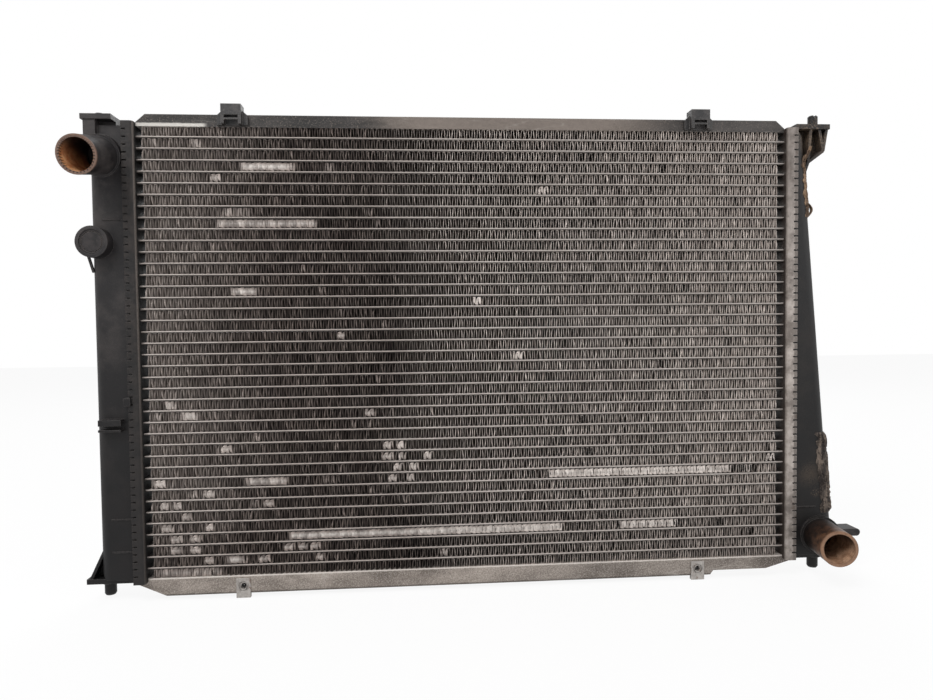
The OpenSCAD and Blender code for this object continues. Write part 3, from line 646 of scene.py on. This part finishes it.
def nylon(name, neck, outer_stain, nicked, rusts, rims, blacks, muddy):
    """The nylon of one tank, as its hose neck and its dirt have left it.

    outer_stain and nicked, 0 to 1, say how stained the neck is outside and how nicked
    its mouth is. rusts and rims are two tones each, of the dried coolant in the bore
    and of the lip. blacks are the clean and the dusty black, at the foot then the head;
    the lighter head is a painted highlight from the light above.
    """
    plastic = finish(name)
    rubbed, softened = worn_edges(plastic, 0.0009)
    cloud = mottle(plastic, 0.03, 5, 0.6)
    fine = mottle(plastic, 0.0015, 4, 0.7)
    glass = mottle(plastic, 0.0005, 2, 0.5)
    dust = ease(plastic, cloud, 0.42, 0.7)
    # painted highlight: the black is lighter toward the top of the tank
    head = ease(plastic, axis(plastic, "Z"), 0.04, 0.36)
    clean_black, dusty_black = (tint(plastic, head, foot, top) for foot, top in blacks)
    black = tint(plastic, dust * 0.6, clean_black, dusty_black)
    flecks = ease(plastic, fine, 0.55, 0.75) * (head * 0.2 + 0.1)
    black = tint(plastic, flecks, black, rgb(78, 71, 67))
    # dried mud in patches: where it lies, how wide it spreads, how thick it is
    for spot, spread, thick in muddy:
        gap = plastic.node("ShaderNodeVectorMath", {"operation": "DISTANCE"},
                           {0: place(plastic), 1: spot}, out="Value")
        patch = ease(plastic, gap + cloud * spread, spread * 1.5, spread * 0.5) * thick
        black = tint(plastic, patch * ease(plastic, fine + cloud, 0.85, 1.1), black,
                     tint(plastic, fine, rgb(58, 48, 42), rgb(126, 108, 90)))
    scuffed = tint(plastic, rubbed * ease(plastic, fine, 0.35, 0.6) * 0.5, black, rgb(104, 98, 94))
    # dried coolant: rusty inside the bore, in rings, and thinner on the outside
    centre, way = mount(neck)
    along, out = from_axis(plastic, centre, way)
    tip = ease(plastic, along, -0.025, 0.012)
    inside = ease(plastic, out, bore_r + 0.0006, bore_r + 0.0002)
    inside = inside * ease(plastic, along, -0.032, -0.026)
    outside = ease(plastic, out, neck_r + 0.0030, neck_r + 0.0012) * tip * outer_stain
    rings = (along * 2600).math("SINE") * 0.5 + 0.5
    blots = mottle(plastic, 0.006, 5, 0.7)
    # painted shade and light in the bore: its upper half is painted dark, its lower half keeps the
    # bright coolant tones as the lit side
    lower_half = ease(plastic, axis(plastic, "Z") - centre.z, 0.010, -0.008)
    rust_and_shade = tint(plastic, ease(plastic, blots, 0.35, 0.65), *rusts)
    rust_and_shade = tint(plastic, rings * 0.2, rust_and_shade, rgb(92, 64, 46))
    rust_and_shade = tint(plastic, lower_half, rgb(38, 27, 23), rust_and_shade)
    specks = ease(plastic, mottle(plastic, 0.0022, 3, 0.6), 0.40, 0.33)
    rust_and_shade = tint(plastic, specks * 0.6, rust_and_shade, rgb(44, 30, 24))
    rust_out = tint(plastic, ease(plastic, blots, 0.3, 0.7), rgb(20, 14, 11), rgb(66, 45, 33))
    rust_out = tint(plastic, ease(plastic, along, -0.004, 0.018) * 0.7, rust_out,
                    tint(plastic, blots, rgb(52, 35, 26), rgb(128, 92, 68)))
    lip = ease(plastic, (out - wall_mid_r).math("ABSOLUTE"), 0.0020, 0.0012)
    lip = lip * ease(plastic, along, 0.018, 0.0202)
    coloured = tint(plastic, (outside * ease(plastic, blots, 0.3, 0.55)).held(), scuffed, rust_out)
    coloured = tint(plastic, inside.held(), coloured, rust_and_shade)
    coloured = tint(plastic, lip * 0.9, coloured, tint(plastic, blots, *rims))
    # nicks round the mouth, where a hose has been cut off
    turn = (axis(plastic, "X") - centre.x).math("ARCTAN2", axis(plastic, "Z") - centre.z)
    nicks = ease(plastic, (turn * 40).math("SINE"), 0.1, 0.6)
    nicks = nicks * ease(plastic, out, wall_mid_r + 0.0002, wall_mid_r - 0.0004)
    nicks = nicks * ease(plastic, along, 0.0150, 0.0170) * nicked
    coloured = tint(plastic, nicks.held() * 0.85, coloured, rgb(26, 19, 16))
    plastic.coat(
        Base_Color=coloured,
        Roughness=cloud * 0.2 + dust * 0.15 + 0.36,
        Specular_IOR_Level=0.28,
        Normal=relief(plastic, glass * 0.4 + fine * 0.6 + blots * inside * 2, 0.00025, softened))
    return plastic


dress("inlet_tank", nylon(
    "inlet_tank_nylon", "inlet_neck", outer_stain=0.0, nicked=1.0,
    rusts=(rgb(208, 134, 86), rgb(248, 194, 142)),
    rims=(rgb(78, 62, 55), rgb(142, 114, 98)),
    blacks=((rgb(10, 9, 10), rgb(34, 32, 33)), (rgb(26, 23, 23), rgb(78, 73, 71))),
    muddy=()))
dress("outlet_tank", nylon(
    "outlet_tank_nylon", "outlet_neck", outer_stain=1.0, nicked=0.0,
    rusts=(rgb(150, 112, 86), rgb(210, 172, 142)),
    rims=(rgb(96, 72, 56), rgb(162, 126, 100)),
    blacks=((rgb(12, 10, 10), rgb(18, 17, 18)), (rgb(34, 30, 28), rgb(48, 45, 43))),
    muddy=(((0.323, -0.018, 0.066), 0.006, 1.0),
           ((0.317, -0.018, 0.084), 0.018, 0.25),
           ((0.322, -0.012, 0.402), 0.030, 1.0))))


# ---- blanking plug and drain plug ----
# Moulded nylon plugs, a little browner than the tanks. The drain plug is turned by
# its wing; its thread backs it out, and its ring goes out with it.

plug = finish("plug_nylon")
rubbed, softened = worn_edges(plug, 0.0007)
cloud = mottle(plug, 0.008, 4, 0.6)
fine = mottle(plug, 0.0012, 4, 0.7)
plug.coat(
    Base_Color=tint(plug, (rubbed * 0.6 + ease(plug, fine, 0.6, 0.75) * 0.3).held(),
                    tint(plug, ease(plug, cloud, 0.35, 0.65), rgb(22, 20, 21), rgb(48, 44, 44)),
                    rgb(112, 104, 99)),
    Specular_IOR_Level=0.3,
    Roughness=cloud * 0.25 + 0.38,
    Normal=relief(plug, fine, 0.0002, softened))
dress("port_plug", plug)
dress("drain_plug", plug)


# ---- shroud clips ----
# Two moulded nylon clips hook over the upper plate, and the fan shroud's tongues
# drop into their slots. They are black, faded and scuffed.

clip = finish("clip_nylon")
rubbed, softened = worn_edges(clip, 0.0008)
cloud = mottle(clip, 0.006, 4, 0.6)
fine = mottle(clip, 0.0012, 4, 0.7)
clip.coat(
    Base_Color=tint(clip, (rubbed * 0.55 + ease(clip, fine, 0.56, 0.72) * 0.4).held(),
                    tint(clip, ease(clip, cloud, 0.4, 0.65), rgb(24, 23, 24), rgb(56, 53, 52)),
                    rgb(122, 118, 114)),
    Roughness=cloud * 0.25 + 0.4,
    Normal=relief(clip, fine + cloud, 0.0002, softened))
dress("shroud_clip_left", clip)
dress("shroud_clip_right", clip)


# ---- clip nuts ----
# Folded spring steel nuts, zinc plated, pushed on the lower plate's flange. The
# pierced hole has a thread tongue behind it and curled burrs round it; the
# plating has dulled and rusted in spots.

bore = 0.0021
# curls: distance from the hole's middle in millimetres, from angle, to angle, thickness
curls = [(2.9, 70, 200, 0.0006), (3.1, 215, 330, 0.0007), (4.5, 95, 180, 0.0006),
         (4.4, 190, 250, 0.0005), (4.3, 300, 380, 0.0006)]
# rings of the tongue: distance from the middle, depth behind the front
tongue = [(bore + 0.0002, 0.0030), (0.0002, 0.0036), (0.0002, 0.0038), (bore + 0.0002, 0.0032)]
curl_sides, curl_steps, hole_sides = 8, 12, 16


def band(here, after, count):
    """The quads between two rings of count points each."""
    return [(here + t, here + (t + 1) % count, after + (t + 1) % count, after + t)
            for t in range(count)]


def tube_along(path, thick):
    """A round wire through the points of a path, pinched shut at both ends."""
    points, quads = [], []
    for number, centre in enumerate(path):
        ahead = (path[min(number + 1, len(path) - 1)] - path[max(number - 1, 0)]).normalized()
        side = ahead.cross(Vector((0, 1, 0))).normalized()
        size = thick * max(0.15, math.sin(math.pi * number / (len(path) - 1)) ** 0.4)
        for turn in range(curl_sides):
            angle = math.tau * turn / curl_sides
            points.append(centre + side * size * math.cos(angle)
                          + Vector((0, 1, 0)) * size * math.sin(angle))
        if number:
            start = number * curl_sides
            quads += band(start - curl_sides, start, curl_sides)
    last = len(points) - curl_sides
    ends = [tuple(range(curl_sides - 1, -1, -1)), tuple(range(last, len(points)))]
    return points, quads + ends


def nut_with_curls(side):
    """The folded nut, with the curls its pierced hole leaves and the tongue behind it."""
    node = "clip_nut_" + side
    plain = frame["nodes"][node].data
    hole = mount("shroud_screw_" + side)[0]
    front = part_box(node)[0].y
    points = [v.co.copy() for v in plain.vertices]
    faces = [tuple(p.vertices) for p in plain.polygons]
    for size, start, end, thick in curls:
        path = []
        for step in range(curl_steps + 1):
            angle = math.radians(start + (end - start) * step / curl_steps)
            far = size / 1000 * (1 + 0.12 * step / curl_steps)
            path.append(Vector((hole.x + far * math.cos(angle), front + 0.0002,
                                hole.z + far * math.sin(angle))))
        more, quads = tube_along(path, thick)
        faces += [tuple(i + len(points) for i in quad) for quad in quads]
        points += more
    start, rings = len(points), len(tongue)
    for far, deep in tongue:
        for t in range(hole_sides):
            angle = math.tau * t / hole_sides
            points.append(Vector((hole.x + far * math.cos(angle), front + deep,
                                  hole.z + far * math.sin(angle))))
    for ring in range(rings):
        faces += band(start + ring * hole_sides, start + (ring + 1) % rings * hole_sides,
                      hole_sides)
    mesh = bpy.data.meshes.new(node)
    mesh.from_pydata(points, [], faces)
    nut = bpy.data.objects.new("folded_nut_" + side, mesh)
    scene.collection.objects.link(nut)
    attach(nut, "radiator")
    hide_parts(node)
    return nut


zinc = finish("nut_zinc")
softened = worn_edges(zinc, 0.0005)[1]
spangle = mottle(zinc, 0.0025, 4, 0.65)
fine = mottle(zinc, 0.0007, 3, 0.6)
rusty = ease(zinc, mottle(zinc, 0.004, 4, 0.65), 0.56, 0.68)
hole = mount("shroud_screw_right")[0]
off = zinc.node("ShaderNodeCombineXYZ", None, {
    0: axis(zinc, "X").math("ABSOLUTE") - hole.x, 1: 0, 2: axis(zinc, "Z") - hole.z})
off = zinc.node("ShaderNodeVectorMath", {"operation": "LENGTH"}, {0: off}, out="Value")
# painted shade: near black in the hole and on the tongue behind it, and dark in a crease 3.8 mm
# out from its middle
dark = ease(zinc, off, bore + 0.0002, bore - 0.0001)
crease = ease(zinc, (off - 0.0038).math("ABSOLUTE"), 0.0007, 0.0002) * ease(zinc, fine, 0.42, 0.56)
plating = tint(zinc, spangle, rgb(112, 106, 101), rgb(196, 191, 186))
plating = tint(zinc, rusty * 0.7, plating, rgb(96, 62, 40))
zinc.coat(
    Base_Color=tint(zinc, dark.most(crease * 0.8), plating, rgb(12, 10, 10)),
    Roughness=spangle * 0.2 + rusty * 0.35 + 0.22,
    Metallic=0.75 - rusty * 0.5 - dark * 0.25,
    Normal=relief(zinc, fine, 0.0001, softened))
for side in ("left", "right"):
    nut_with_curls(side).data.materials.append(zinc.owner)


# ---- foam seals ----
# Strips of foam tape, glued round the outlet tank's front edge, close the gap to
# the car's body. The tape is old and browned, and crumbles in layers; a sliver of
# the upper one has come unstuck.

foam = finish("foam_tape")
cells = mottle(foam, 0.0016, 5, 0.8, (1, 1, 0.5))
layers = mottle(foam, 0.004, 4, 0.65, (1, 1, 0.12))
holes = ease(foam, cells, 0.46, 0.34)
lower_tape = ease(foam, axis(foam, "Z"), 0.25, 0.2)
brown = tint(foam, ease(foam, layers, 0.38, 0.6), rgb(70, 54, 42), rgb(146, 120, 96))
grey = tint(foam, ease(foam, layers, 0.4, 0.62), rgb(36, 29, 26), rgb(112, 100, 90))
foam.coat(
    Base_Color=tint(foam, holes, tint(foam, lower_tape, brown, grey), rgb(26, 21, 18)),
    Roughness=cells * 0.1 + 0.82,
    Normal=relief(foam, cells + layers * 2, 0.0008))


strip_thick, tape_step = 0.0016, 0.0009
tape_spans, flake_spans = 18, 14


def wander(count, reach):
    """A smooth random walk about 0, its bends about reach steps long."""
    noise = np.convolve(picks.normal(0, 1, count + 2 * reach), np.hanning(reach + 2)[1:-1], "same")
    return noise[reach:reach + count] / (0.375 * reach) ** 0.5


def tape(name, node, above, inner, outer, thin, thick, flake=None):
    """Foam tape bent round the tank's edge, its edges ragged, its face in torn layers.

    It runs above past the top of the stated strip. It starts inner from the front of
    the bend and ends outer past the side of it, and its layers are thin to thick.
    """
    low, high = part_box(node)
    bend = high.y - low.y
    inside = bend - strip_thick
    arc = inside * math.pi / 2
    tall = high.z + above - low.z
    steps = int(tall / tape_step)
    slope = (high.x - bend - low.x) / (high.z - low.z)
    left = inner + wander(steps + 1, 9) * 0.0009 + wander(steps + 1, 2) * 0.0004
    right = arc + outer + wander(steps + 1, 7) * 0.0008
    lump = np.array([wander(steps + 1, 16) + 0.35 * wander(steps + 1, 3)
                     for _ in range(tape_spans + 1)])
    torn = np.where(lump > 0.2, 1.0, 0.3)
    points, faces = [], []
    for step in range(steps + 1):
        z = low.z + tall * step / steps
        # well above the stated strip, the tape follows the foot outward
        centre_x = low.x + (high.z - z) * slope + max(0, z - high.z - 0.016) * 0.7
        ends = min(1, step / 5 + 0.15, (steps - step) / 5 + 0.15)
        for layer in (0, 1):
            for span in range(tape_spans + 1):
                part = span / tape_spans
                along = left[step] + (right[step] - left[step]) * part
                sides = min(1, part * 5 + 0.1, (1 - part) * 5 + 0.1)
                up = (thin + (thick - thin) * torn[span, step]
                      + lump[span, step] * 0.0002) * ends * sides
                far = inside + (max(up, 0.0002) if layer else 0)
                if along < 0:
                    spot = (centre_x + along, low.y + bend - far, z)
                elif along < arc:
                    angle = along / inside - math.pi / 2
                    spot = (centre_x + far * math.cos(angle), high.y + far * math.sin(angle), z)
                else:
                    spot = (centre_x + far, high.y + along - arc, z)
                points.append(Vector(spot))
    row = 2 * (tape_spans + 1)
    ring = [*range(tape_spans + 1), *range(2 * tape_spans + 1, tape_spans, -1)]
    for step in range(steps):
        for here, after in zip(ring, ring[1:] + ring[:1]):
            faces.append((step * row + here, step * row + after,
                          (step + 1) * row + after, (step + 1) * row + here))
    faces += [tuple(reversed(ring)), tuple(steps * row + i for i in ring)]
    if flake:
        # a sliver that has come unstuck and bows away from the tank
        foot, head, bow = flake
        for step in range(flake_spans + 1):
            part = step / flake_spans
            z = foot + (head - foot) * part
            x = low.x + (high.z - z) * slope + inside + bow * math.sin(math.pi * part)
            width = 0.0012 + 0.001 * math.sin(math.pi * part)
            start = len(points)
            points += [Vector((x + dx, high.y + dy, z)) for dx, dy in
                       ((0, -width), (0.0005, -width), (0.0005, width), (0, width))]
            if step:
                faces += band(start - 4, start, 4)
            else:
                faces.append((start + 3, start + 2, start + 1, start))
        faces.append((start, start + 1, start + 2, start + 3))
    mesh = bpy.data.meshes.new(name)
    mesh.from_pydata(points, [], faces)
    piece = bpy.data.objects.new(name, mesh)
    scene.collection.objects.link(piece)
    mesh.materials.append(foam.owner)
    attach(piece, "radiator")
    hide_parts(node)


tape("foam_tape_upper", "seal_strip_upper", above=0.029, inner=0.0042, outer=-0.004,
     thin=0.0005, thick=0.0015, flake=(0.3256, 0.3420, 0.0055))
tape("foam_tape_lower", "seal_strip_lower", above=0.004, inner=-0.002, outer=0.002,
     thin=0.0008, thick=0.0026)
